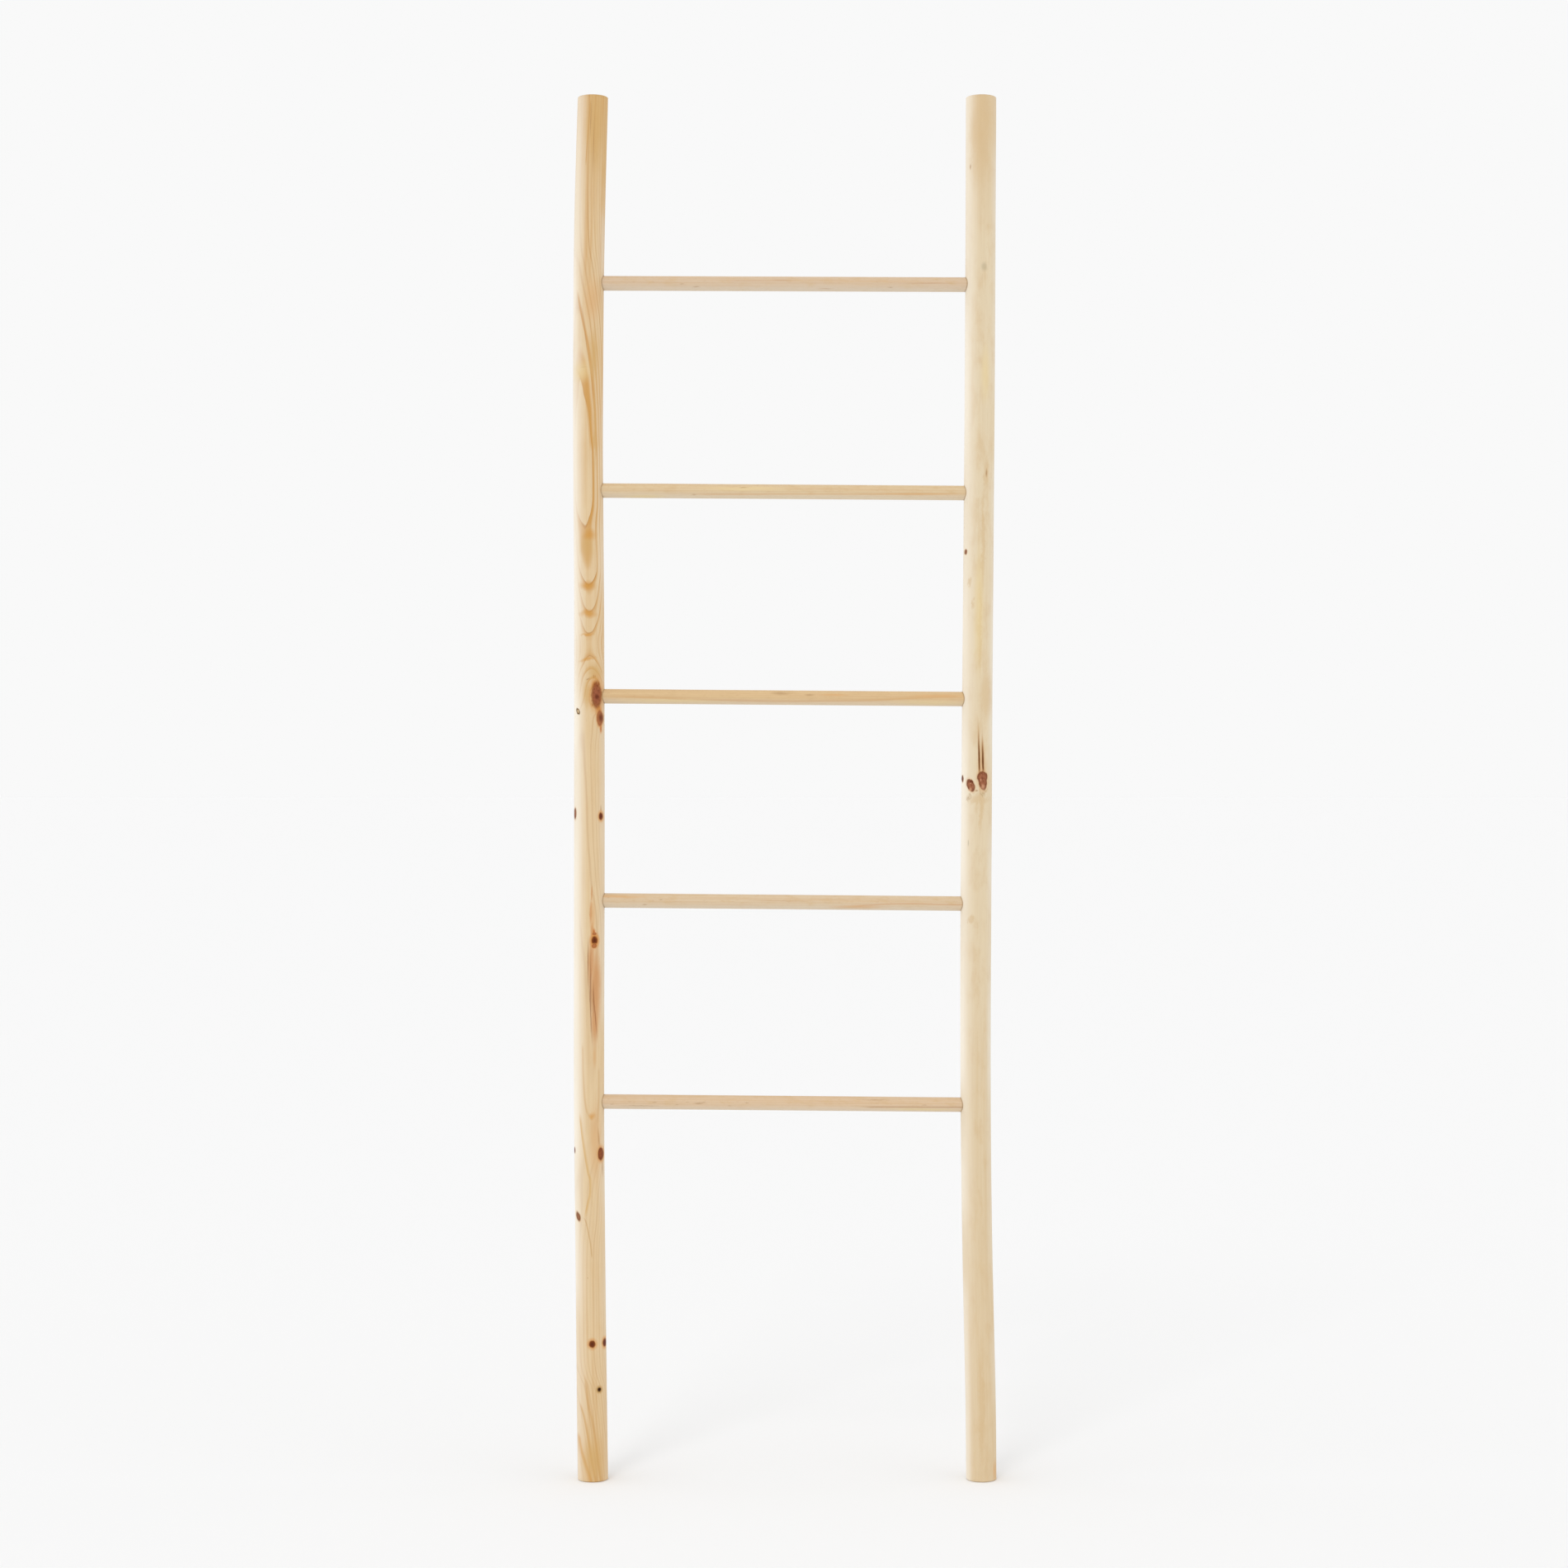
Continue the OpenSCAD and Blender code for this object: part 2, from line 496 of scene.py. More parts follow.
@dataclass
class Timber:
    """How one stick grew and was cut, in millimetres, degrees and shares from 0 to 1.

    The colours are pale for early wood, late for late wood, line for the sharp end of each year,
    for fibres and for resin ducts, and tone for stained wood. tones to streaks are lines along
    the stick, through (along, height) places: how stained the early wood is, in which direction
    the heart of the tree lay, with 0 straight behind, how many rings are cut away at the face that
    looks away from the heart, how dark the late wood is, how blurred its end is, how strong the
    line is there, and how strong the long streaks are. early is one more, for the share of a year
    at which late wood begins. years says how dark each ring is, by its number.

    pith is how far from the stick's middle the heart lay, ring the width of a ring, radius the
    stick's own, warp how many rings out of round it grew, and blotches and pores how strong the
    patches and the resin ducts are. marks has the marks on the front by their kind, and behind
    those on the back.
    """

    name: str
    pale: tuple
    late: tuple
    line: tuple
    tone: tuple
    tones: list
    lean: list
    lift: list
    band: list
    soft: list
    edge: list
    streaks: list
    years: list
    # Painted light on the stick's sides: highlights, rim sheen and floor light
    painted_light_flanks: list
    marks: dict
    early: list = field(default_factory=lambda: even(0.5))
    pith: float = 60
    ring: float = 3.8
    radius: float = 20
    warp: float = 0.3
    blotches: float = 0.1
    pores: float = 0.12
    behind: dict = field(default_factory=dict)
    seams: list = field(default_factory=list)
    swellings: list = field(default_factory=list)


@dataclass
class Pattern:
    """Noise over a stick: how fine it is across and along it, in waves a millimetre.

    It shows from the first value of shows on, and in full from the second.
    """

    across: float
    along: float
    shows: tuple = (0, 1)
    detail: int = 3
    roughness: float = 0.5


@dataclass
class Coat:
    """One layer of a mark's colour, full inside inner and gone outside outer, where 1 is its edge."""

    outer: float
    inner: float
    strength: float
    colour: tuple


@dataclass
class Kind:
    """A kind of mark: how far its edge wanders, how ragged it is, and the coats it is painted in.

    A hard one is speckled with heartwood inside.
    """

    wander: float
    ragged: float
    coats: list
    hard: bool = False


# In the order in which they are laid over each other
KINDS = {
    "golden": Kind(8, 0, [Coat(1.2, 0.1, 0.75, (202, 163, 104))]),
    "tan": Kind(8, 7, [Coat(1.3, 0.4, 0.5, (206, 176, 132))]),
    "orange": Kind(5, 2, [Coat(1.3, 0.1, 0.75, (202, 146, 70))]),
    "salmon": Kind(3, 1.5, [Coat(1.3, 0.3, 0.8, (198, 142, 92))]),
    "grey": Kind(3, 1, [Coat(1.1, 0.2, 0.35, (150, 140, 112))]),
    "streak": Kind(0.5, 0.5, [Coat(1.2, 0.1, 0.6, (156, 108, 60))]),
    "sap": Kind(3, 0.5, [Coat(1.2, 0.1, 0.6, (224, 202, 152))]),
    "amber": Kind(3, 0.5, [Coat(1.2, 0.1, 0.55, (210, 162, 108))]),
    "grain": Kind(1.5, 1, [Coat(1.3, 0.1, 0.35, (176, 128, 90))]),
    "fleck": Kind(1, 2, [Coat(1.3, 0.1, 0.4, (152, 112, 70))]),
    "crack": Kind(1, 0.6, [Coat(1.4, 0.1, 0.65, (138, 84, 46))]),
    "drip": Kind(0.8, 0.5, [Coat(1.4, 0.4, 0.75, (180, 130, 78)), Coat(1, 0.1, 1, (98, 54, 18))]),
    "halo": Kind(2, 1, [Coat(1.3, 0.2, 0.8, (200, 122, 56)), Coat(0.8, 0.1, 0.5, (150, 72, 28))]),
    "faint knot": Kind(1, 1, [
        Coat(1.5, 0.8, 0.5, (206, 160, 108)),
        Coat(1.15, 0.7, 0.92, (118, 70, 40)),
        Coat(0.8, 0.4, 0.5, (156, 102, 70)),
    ]),
    "knot": Kind(1.5, 3, [
        Coat(1.9, 0.8, 0.65, (204, 144, 74)),
        Coat(1.22, 0.75, 0.86, (138, 74, 36)),
        Coat(0.9, 0.45, 0.7, (154, 86, 60)),
    ], hard=True),
    "dark knot": Kind(0.5, 1, [
        Coat(2.1, 0.8, 0.75, (206, 140, 66)),
        Coat(1.25, 0.7, 0.95, (110, 48, 14)),
        Coat(0.7, 0.2, 0.6, (72, 26, 8)),
    ], hard=True),
    "split knot": Kind(0.5, 1, [
        Coat(1.8, 0.9, 0.7, (206, 142, 72)),
        Coat(1.22, 0.8, 0.95, (114, 54, 22)),
        Coat(0.85, 0.5, 0.7, (150, 82, 42)),
    ], hard=True),
    "soft knot": Kind(1, 1, [
        Coat(1.5, 0.9, 0.6, (206, 146, 78)),
        Coat(1.15, 0.8, 0.85, (150, 82, 42)),
        Coat(0.85, 0.5, 0.5, (186, 120, 74)),
    ]),
    "mottle": Kind(3, 9, [Coat(1.4, 0.2, 0.45, (164, 130, 80))]),
    "speckled knot": Kind(1, 2, [
        Coat(1.5, 0.9, 0.5, (212, 168, 118)),
        Coat(1.12, 0.88, 0.9, (122, 62, 34)),
        Coat(0.85, 0.5, 0.75, (162, 102, 72)),
    ], hard=True),
    "ring knot": Kind(0.5, 1.6, [
        Coat(1.2, 0.8, 0.95, (106, 74, 30)),
        Coat(0.7, 0.3, 0.8, (214, 190, 150)),
    ]),
    "spark": Kind(0.5, 2, [Coat(1.2, 0.2, 0.7, (208, 156, 120))]),
    "heart": Kind(0.5, 1, [Coat(1.5, 0.2, 0.8, (92, 34, 12))]),
    "black": Kind(0.5, 1, [
        Coat(1.9, 0.8, 0.7, (176, 130, 60)),
        Coat(1.15, 0.4, 1, (52, 24, 0)),
    ]),
}

# Patterns in the wood
WARP = Pattern(0.05, 0.012)
FIBRE = Pattern(1.1, 0.02, (0.35, 0.8), roughness=0.6)
STREAKS = Pattern(0.28, 0.006, (0.42, 0.75), roughness=0.55)
DUCTS = Pattern(1.6, 0.12, (0.66, 0.8), detail=1)
WANDER = Pattern(0.09, 0.03, detail=2)
RAGGED = Pattern(0.35, 0.17, roughness=0.6)
SPECKLE = Pattern(0.55, 0.35, (0.4, 0.7), roughness=0.6)
# These grow with the stick, so that their waves are to its radius, not to a millimetre
BLOTCHES = Pattern(1.4, 0.56, (0.45, 0.75), roughness=0.6)

# The share of a year that late wood takes to reach its full tone
RIPENING = 0.4
FIBRE_STRENGTH = 0.1
# How far behind a stick's middle its front ends and its back begins
FRONT_ENDS = (-4, 2)
BACK_BEGINS = (4, 8)
# The share of a seam's length over which it fades in and out
SEAM_EASE = 0.12
# How far out a hard knot's speckles fade, where 1 is its edge
SPECKLES_END = (0.7, 1.1)
SPECKLE_STRENGTH = 0.5
HEARTWOOD = (88, 36, 14)

GLOSS = 0.1
ROUGHNESS = 0.33
ROUGHNESS_RANGE = 0.2
RELIEF = 0.0003
RELIEF_STRENGTH = 0.3

# Glue and painted shade round the dowels, and soil on the sawn ends, from full to none
GLUE_SOIL_AND_SHADE = (160, 128, 86)
GLUE_AND_SHADE_STRENGTH = 0.5
GLUE_AND_SHADE_ON_POLE = (0.1, 1.4)
GLUE_AND_SHADE_ON_DOWEL = (0, 1.2)
GLUED_AND_SHADED_SIDE = (8, 12)
END_SOIL = 0.35
END_SOIL_DEPTH = 1.6

# The brads' steel, with its waves to the metre
STEEL = (176, 174, 170)
DULL_STEEL = (128, 122, 114)
DULLNESS = 0.6
DULL_WAVES = 500
DULL_SHOWS = (0.4, 0.7)
STEEL_ROUGHNESS = 0.25
STEEL_ROUGHNESS_RANGE = 0.25
SCRATCH_WAVES = 9000
SCRATCH_LENGTH = 30
SCRATCH_DEPTH = 0.0001
SCRATCH_STRENGTH = 0.2

# In one metre
MILLIMETRES = 1000


def least(wires):
    """The least of some wires, or of the only one."""
    return reduce(lambda found, wire: found.math("MINIMUM", wire), wires)


def nearest(marks, place):
    """How far a point lies from the nearest of some marks, where 1 is a mark's edge."""
    distances = []
    for mark in marks:
        wide, high = mark.width / 2, mark.height / 2
        if mark.turn:
            settings = {
                "Vector": place,
                "Location": (mark.side, mark.along, 0),
                "Rotation": (0, 0, radians(-mark.turn)),
                "Scale": (wide, high, 1),
            }
            scaled = place.node("Mapping", settings, vector_type="TEXTURE")
        else:
            # A lighter node that does the same: a pole with too many Mapping nodes comes out black
            offset = (-mark.side / wide, -mark.along / high, 0)
            settings = {0: place, 1: (1 / wide, 1 / high, 0), 2: offset}
            scaled = place.node("VectorMath", settings, operation="MULTIPLY_ADD")
        distances.append(length(scaled))
    return least(distances)


def draw_seam(seam, colour, side, along, front):
    """A colour with one seam drawn on it."""
    first, last = seam.places[0][0], seam.places[-1][0]
    ease = (last - first) * SEAM_EASE
    off = side - follow(along, seam.places)
    share = (1 - fade(off, 0, seam.above)) * fade(off, -seam.below, 0)
    share = share * fade(along, first, first + ease) * (1 - fade(along, last - ease, last))
    return mix(share * front * seam.strength, colour, rgba(*seam.colour))


def new_material(name):
    """A node material, with its shader and the wires of a shaded point's x, y and z."""
    material = bpy.data.materials.new(name)
    material.use_nodes = True
    tree = material.node_tree
    point = Wire(tree.nodes.new("ShaderNodeTexCoord").outputs["Object"])
    parts = point.node("SeparateXYZ", {0: point}).socket.node.outputs
    return material, tree.nodes["Principled BSDF"], [Wire(part) for part in parts]


def plug(wire, shader, name):
    """Feeds one of a shader's sockets."""
    wire.socket.id_data.links.new(wire.socket, shader.inputs[name])


def wood(timber, shader, side, back, along, soil_and_shade):
    """Pine, from the wires of where a point lies in its stick and of its soil, glue and painted shade."""

    def noise_of(pattern, size=1):
        across = pattern.across / size
        point = xyz(side * across, back * across, along * (pattern.along / size))
        return noise(point, pattern.detail, pattern.roughness)

    # Where the heart of the tree lay, and how many rings lie between it and this point
    lean = follow(along, timber.lean) * (pi / 180)
    from_pith = length(
        xyz(side + lean.math("SINE") * timber.pith, back - lean.math("COSINE") * timber.pith, 0)
    )
    ring = (from_pith - (timber.pith + timber.radius)) / timber.ring + follow(along, timber.lift)
    ring = ring + (noise_of(WARP) - 0.5) * timber.warp
    place = xyz(side, along, 0)
    for swelling in timber.swellings:
        ring = ring + (1 - fade(nearest([swelling.mark], place), 0, 1)) * swelling.rings

    # Early wood turns into late wood through each year, and stops short at its end
    year = ring.math("FLOOR")
    season = ring - year
    soft = follow(along, timber.soft)
    dark = follow(year, timber.years) * (1 - fade(season, 1 - soft, 1))
    early = follow(along, timber.early)
    band = fade(season, early, early + RIPENING) * follow(along, timber.band) * dark
    line = fade(season, 1 - soft * 2, 1 - soft) * dark

    fibre = noise_of(FIBRE)
    streaks = fade(noise_of(STREAKS), *STREAKS.shows)
    blotches = fade(noise_of(BLOTCHES, timber.radius), *BLOTCHES.shows)
    ducts = fade(noise_of(DUCTS), *DUCTS.shows)

    colour = mix(follow(along, timber.tones), rgba(*timber.pale), rgba(*timber.tone))
    colour = mix(band, colour, rgba(*timber.late))
    colour = mix(streaks * follow(along, timber.streaks), colour, rgba(*timber.late))
    colour = mix(blotches * timber.blotches, colour, rgba(*timber.tone))
    colour = mix(line * follow(along, timber.edge), colour, rgba(*timber.line))
    colour = mix(ducts * timber.pores, colour, rgba(*timber.line))
    colour = mix(fade(fibre, *FIBRE.shows) * FIBRE_STRENGTH, colour, rgba(*timber.line))
    # Painted light: highlights, rim sheen and floor light painted paler into the colour
    for painted_flank in timber.painted_light_flanks:
        share = fade(side, painted_flank.none, painted_flank.full) * follow(along, painted_flank.share)
        colour = mix(share, colour, rgba(*painted_flank.tone))

    # Marks and seams lie on the front, but for the few marks that lie behind
    front = 1 - fade(back, *FRONT_ENDS)
    behind = fade(back, *BACK_BEGINS)
    for seam in timber.seams:
        colour = draw_seam(seam, colour, side, along, front)
    wander = noise_of(WANDER) - 0.5
    ragged = noise_of(RAGGED) - 0.5
    speckle = fade(noise_of(SPECKLE), *SPECKLE.shows)
    for marks, seen in ((timber.marks, front), (timber.behind, behind)):
        for name, kind in KINDS.items():
            if name not in marks:
                continue
            astray = wander * kind.wander + ragged * kind.ragged
            away = nearest(marks[name], xyz(side + astray, along + astray * 2, 0))
            for coat in kind.coats:
                share = (1 - fade(away, coat.inner, coat.outer)) * seen
                colour = mix(share * coat.strength, colour, rgba(*coat.colour))
            if kind.hard:
                inside = (1 - fade(away, *SPECKLES_END)) * seen
                colour = mix(inside * speckle * SPECKLE_STRENGTH, colour, rgba(*HEARTWOOD))
    # Soil on the sawn ends, and glue with painted shade where dowels and poles meet
    colour = mix(soil_and_shade, colour, rgba(*GLUE_SOIL_AND_SHADE))

    plug(colour, shader, "Base Color")
    shader.inputs["Specular IOR Level"].default_value = GLOSS
    # Fibres stand up, and late wood and ducts lie lower
    relief = fibre * 0.6 - band * 0.3 - line * 0.3 - ducts * 0.5
    plug(fibre * ROUGHNESS_RANGE + ROUGHNESS, shader, "Roughness")
    bump = {"Height": relief, "Strength": RELIEF_STRENGTH, "Distance": RELIEF}
    plug(relief.node("Bump", bump), shader, "Normal")


def axis_height(x, left, right):
    """How high the middle line of a dowel from left to right lies at x, in millimetres."""
    slope = (right.z - left.z) / (right.x - left.x)
    return x * (slope * MILLIMETRES) + (left.z - slope * left.x) * MILLIMETRES


def pole_wood(timber, rings, dowels):
    """The wood of a pole, whose middle line follows its rings, glued and with painted shade round the
    dowels.
    """
    material, shader, (x, y, z) = new_material(timber.name)
    along = z * MILLIMETRES
    straight = rings[EDGE_RINGS:-EDGE_RINGS]
    middle = follow(along, [(height * MILLIMETRES, at * MILLIMETRES) for height, at, _ in straight])
    side, back = x * MILLIMETRES - middle, y * MILLIMETRES
    off = least([
        length(xyz(back, along - axis_height(x, left, right), 0)) - radius * MILLIMETRES
        for left, right, radius in dowels
    ])
    # Only the side that the dowels enter gets glue and painted shade
    inward = -1 if rings[0][1] > 0 else 1
    glue_and_shade = (1 - fade(off, *GLUE_AND_SHADE_ON_POLE)) * fade(side * inward, *GLUED_AND_SHADED_SIDE) * GLUE_AND_SHADE_STRENGTH
    top = rings[-1][0] * MILLIMETRES
    ends = 1 - fade(along, 0, END_SOIL_DEPTH) + fade(along, top - END_SOIL_DEPTH, top)
    wood(timber, shader, side, back, along, (glue_and_shade + ends * END_SOIL).math("MINIMUM", 1))
    return material


def dowel_wood(timber, left, right, radius):
    """The wood of a dowel, which lies from left to right, glued and with painted shade where it enters the
    poles.
    """
    material, shader, (x, y, z) = new_material(timber.name)
    along, back = x * MILLIMETRES, y * MILLIMETRES
    side = z * MILLIMETRES - axis_height(x, left, right)
    # How far a point lies outside each pole
    outside = []
    for brad in brads_of(left, radius):
        rings = POLES["left_pole" if brad.x < 0 else "right_pole"]
        pole_radius = min(rings, key=lambda ring: abs(ring[0] - brad.z))[2]
        outside.append(length(xyz(along - brad.x * MILLIMETRES, back, 0)) - pole_radius * MILLIMETRES)
    wood(timber, shader, side, back, along, (1 - fade(least(outside), *GLUE_AND_SHADE_ON_DOWEL)) * GLUE_AND_SHADE_STRENGTH)
    return material


def brad_steel():
    """Bright drawn wire, a little dulled, with fine scratches along it."""
    material, shader, (x, y, z) = new_material("brad_steel")
    lengthways = y * (SCRATCH_WAVES / SCRATCH_LENGTH)
    scratches = noise(xyz(x * SCRATCH_WAVES, lengthways, z * SCRATCH_WAVES))
    dull = noise(xyz(x * DULL_WAVES, y * DULL_WAVES, z * DULL_WAVES), detail=2)
    colour = mix(fade(dull, *DULL_SHOWS) * DULLNESS, rgba(*STEEL), rgba(*DULL_STEEL))
    plug(colour, shader, "Base Color")
    plug(scratches * STEEL_ROUGHNESS_RANGE + STEEL_ROUGHNESS, shader, "Roughness")
    bump = {"Height": scratches, "Strength": SCRATCH_STRENGTH, "Distance": SCRATCH_DEPTH}
    plug(scratches.node("Bump", bump), shader, "Normal")
    shader.inputs["Metallic"].default_value = 1
    return material


# ---------------------------------------------------------------- the timbers

LEFT = Timber(
    name="left_pole_pine",
    pale=(220, 196, 158), late=(198, 146, 76), line=(160, 106, 56), tone=(203, 163, 102),
    tones=[
        (0, 0.45), (100, 0.25), (200, 0.08), (300, 0.05), (800, 0.05), (1000, 0.1), (1300, 0.05),
        (1560, 0.12), (1680, 0.3), (1800, 0.75),
    ],
    streaks=[
        (0, 0.35), (300, 0.18), (460, 0.1), (560, 0.1), (640, 0.2), (1000, 0.22), (1100, 0.2), (1500, 0.2),
        (1600, 0.5), (1800, 0.6),
    ],
    lean=[
        (0, -80), (252, -80), (337, -65), (391, -40), (434, -5), (476, 15), (530, 14), (658, 10),
        (722, 0), (797, -30), (894, -40), (974, -25), (1011, 0), (1043, 12), (1075, 5), (1102, 3),
        (1131, 5), (1167, 3), (1198, -4), (1238, -12), (1279, -17), (1332, -20.5), (1386, -22),
        (1428, -26), (1466, -30), (1505, -36), (1535, -46), (1578, -60), (1616, -69), (1660, -75),
        (1720, -78), (1800, -80),
    ],
    lift=[
        (0, 5.12), (124, 1.62), (177, -0.48), (337, -0.48), (391, -1.08), (434, -1.28), (478, -0.88),
        (530, -0.23), (583, -0.08), (658, 0.02), (722, 0.42), (797, 0.52), (894, 0.32), (974, -0.28),
        (1011, -0.78), (1033, -1.08), (1052, -1.88), (1068, -2.88), (1086, -3.28), (1102, -2.88),
        (1131, -1.88), (1167, -0.88), (1198, -0.08), (1238, 0.12), (1279, 0.87), (1332, 1.05),
        (1353, 0.86), (1386, 0.56), (1407, 0.27), (1428, 0.12), (1466, -0.38), (1505, -0.88),
        (1535, -1.33), (1578, -1.88), (1616, -2.48), (1800, -2.48),
    ],
    early=[
        (0, 0.4), (150, 0.45), (400, 0.6), (1000, 0.6), (1065, 0.5), (1180, 0.5), (1236, 0.35),
        (1290, 0.45), (1340, 0.45), (1386, 0.3), (1428, 0.2), (1466, 0.3), (1540, 0.5), (1800, 0.5),
    ],
    band=[
        (0, 0.3), (100, 0.3), (166, 0.15), (530, 0.12), (744, 0.12), (969, 0.3), (1033, 0.8),
        (1065, 1), (1172, 1), (1188, 0.6), (1215, 0.6), (1240, 0.8), (1265, 0.95), (1440, 0.8), (1520, 0.6),
        (1616, 0.4), (1800, 0.4),
    ],
    soft=[
        (0, 0.3), (209, 0.3), (851, 0.25), (990, 0.2), (1060, 0.07), (1180, 0.07), (1215, 0.04),
        (1440, 0.04), (1490, 0.15), (1560, 0.3), (1800, 0.35),
    ],
    years=[
        (-10, 0.5), (-9, 0.3), (-8, 0.6), (-7, 0.4), (-6, 0.9), (-5, 0.3), (-4, 0.6), (-3, 0.6),
        (-2, 0.8), (-1, 1), (0, 0.2), (1, 0.7), (2, 0.35), (3, 0.8), (4, 0.5), (5, 0.6),
    ],
    edge=[
        (0, 0.12), (150, 0.2), (210, 0.22), (400, 0.2), (460, 0.08), (580, 0.08), (660, 0.2), (990, 0.22),
        (1055, 0.3), (1085, 0.55), (1180, 0.55), (1225, 0.35), (1500, 0.4), (1600, 0.3), (1800, 0.35),
    ],
    # Painted light: the first flank is a painted highlight on the left side, where this wood is paler
    # itself too, and the other two paint sheen along the left and the right rim
    painted_light_flanks=[
        PaintedLightFlank(0, -17, (236, 226, 208), [
            (0, 0.3), (120, 0.38), (183, 0.35), (260, 0.6), (360, 0.55), (420, 0.7), (480, 0.9), (980, 0.9),
            (1020, 0.75), (1070, 0.55), (1120, 0.8), (1220, 0.65), (1300, 0.8), (1440, 0.8), (1500, 0.52),
            (1560, 0.52), (1620, 0.75), (1800, 0.6),
        ]),
        PaintedLightFlank(-10, -20, (246, 240, 228), [
            (0, 0.3), (148, 0.1), (229, 0.2), (310, 0.5), (390, 0.38), (471, 0.55), (551, 0.33), (632, 0.5),
            (713, 0.33), (793, 0.38), (874, 0), (955, 0.42), (1035, 0.55), (1116, 0.5), (1196, 0.65),
            (1277, 0.43), (1358, 0.5), (1438, 0), (1519, 0.65), (1600, 0.15), (1680, 0), (1800, 0),
        ]),
        PaintedLightFlank(10, 20, (232, 228, 218), [
            (0, 0.15), (148, 0.07), (229, 0.15), (310, 0.09), (390, 0.26), (471, 0.13), (551, 0.02),
            (632, 0.33), (713, 0.33), (793, 0.22), (874, 0.26), (1035, 0.17), (1116, 0.04), (1196, 0.3),
            (1277, 0.15), (1358, 0.15), (1438, 0), (1560, 0.07), (1600, 0.31), (1650, 0.1), (1800, 0),
        ]),
    ],
    swellings=[Swelling(Mark(10.3, 1021, 36, 66), 1.5)],
    marks={
        "golden": [
            Mark(5.5, 1750, 28, 129), Mark(8.3, 1461, 15, 86), Mark(9.4, 1364, 4.3, 140),
            Mark(2.1, 30, 32, 70), Mark(-1.2, 1214, 21, 52), Mark(20, 1722, 13, 190),
            Mark(8, 1050, 25, 36), Mark(-2, 1022, 12, 46),
        ],
        "sap": [Mark(-7, 1441, 26, 34)],
        "amber": [
            Mark(6, 1533, 24, 70), Mark(5.8, 733, 8, 60), Mark(8.5, 552, 6, 34),
            Mark(9, 440, 18, 120),
        ],
        "orange": [
            Mark(-0.5, 1163, 23, 13), Mark(0, 1126, 24, 11), Mark(-1.4, 1099, 18, 4.3),
            Mark(3, 1229, 17, 17), Mark(-0.4, 1068, 23.7, 5.4, -14), Mark(5.5, 476, 8.6, 10.8),
        ],
        "salmon": [
            Mark(4, 674, 10.5, 64.5), Mark(9.2, 637, 14.5, 118), Mark(8.4, 598, 10, 64),
            Mark(4, 763, 2.2, 21.5), Mark(3.3, 739, 3.8, 32.3), Mark(5.3, 717, 4.3, 21.5),
        ],
        "streak": [
            Mark(-0.6, 1768, 1.4, 56), Mark(3.9, 1735, 1.2, 110), Mark(15.5, 872, 1.6, 15),
            Mark(17.4, 407, 1.4, 32), Mark(13.2, 445, 2.8, 36, -4), Mark(-4.5, 1446, 9.7, 1.1),
            Mark(8.8, 1045, 1.6, 4.3), Mark(-2.4, 265, 1.3, 2.7),
            Mark(-0.6, 1041.5, 2.4, 6, 60), Mark(6.9, 1045, 2.2, 6),
        ],
        "crack": [
            Mark(6.9, 627, 2.4, 42), Mark(3.2, 640, 2.4, 96.8), Mark(-0.3, 674, 1.6, 64.5),
            Mark(3, 612, 1.6, 84, -3), Mark(8.8, 608, 1.6, 60, -4),
        ],
        "halo": [
            Mark(9, 1035, 10, 9), Mark(12.8, 1003, 8.6, 10.8), Mark(15.7, 978, 3, 16),
            Mark(7.8, 703, 12, 24), Mark(7.9, 698, 7, 10), Mark(7.4, 714, 4.6, 11),
        ],
        "faint knot": [
            Mark(-18, 867, 4, 15), Mark(-18.3, 429, 1.8, 8.6), Mark(-14.2, 344, 5.9, 12.9, -15),
        ],
        "knot": [Mark(10.3, 1021, 13.2, 35.5)],
        "soft knot": [Mark(14.4, 991, 8, 21), Mark(7.6, 695.6, 6, 6), Mark(7.8, 711.4, 5, 4)],
        "dark knot": [
            Mark(15.5, 863.5, 4.8, 10), Mark(8, 702.5, 7.6, 11), Mark(2.5, 179.3, 8.4, 9.4),
            Mark(17.9, 179.5, 4.4, 10.8),
        ],
        "split knot": [Mark(15.5, 425, 6.6, 16.6)],
        "ring knot": [Mark(-13.6, 1000, 4.4, 9, -20)],
        "heart": [
            Mark(10.6, 1018.5, 5, 7), Mark(15.6, 991.5, 6, 12), Mark(-18.6, 429.5, 2, 7),
            Mark(18.2, 179, 2.6, 8),
        ],
        "black": [Mark(10.8, 119.8, 5.6, 7.4)],
    },
    behind={
        "dark knot": [Mark(-6, 246, 7.5, 10), Mark(5, 1046, 6.5, 12)],
        "faint knot": [Mark(-11, 708, 5, 12, 10), Mark(8, 1394, 4, 9)],
    },
    seams=[
        Seam([(338, -6.5), (348, -4.9), (364, -1.4), (375, 1), (386, 1.6), (402, -1.2), (425, -5),
              (450, -8.6), (482, -12)], 1.2, 4, 0.6, (204, 160, 92)),
        Seam([(289, 3.3), (309, 1.4), (326, -1.7), (339, -4.8), (345, -9.1)], 0.9, 2, 0.5, (184, 138, 80)),
        Seam([(-20, 15), (3, 11.1), (48, 5.3), (77, 1.3), (101, -3.5), (143, -8.3)], 2, 3.5, 0.5,
             (192, 142, 76)),
        Seam([(-20, 8), (1, 4.9), (30, -0.5), (53, -3.9), (83, -9.3), (107, -16.7)], 2, 3, 0.55,
             (192, 142, 74)),
        Seam([(-20, 4), (6, -2.1), (24, -7.8), (42, -13.5), (65, -17.5)], 5, 3, 0.6, (200, 146, 74)),
        Seam([(470, 4), (476, 0), (486, -3), (520, -6.2), (572, -7.5)], 1.5, 2.5, 0.36, (196, 150, 92)),
        Seam([(459, 11.6), (476, 12.4), (500, 13.2), (540, 13.6)], 1.6, 2, 0.3, (190, 142, 84)),
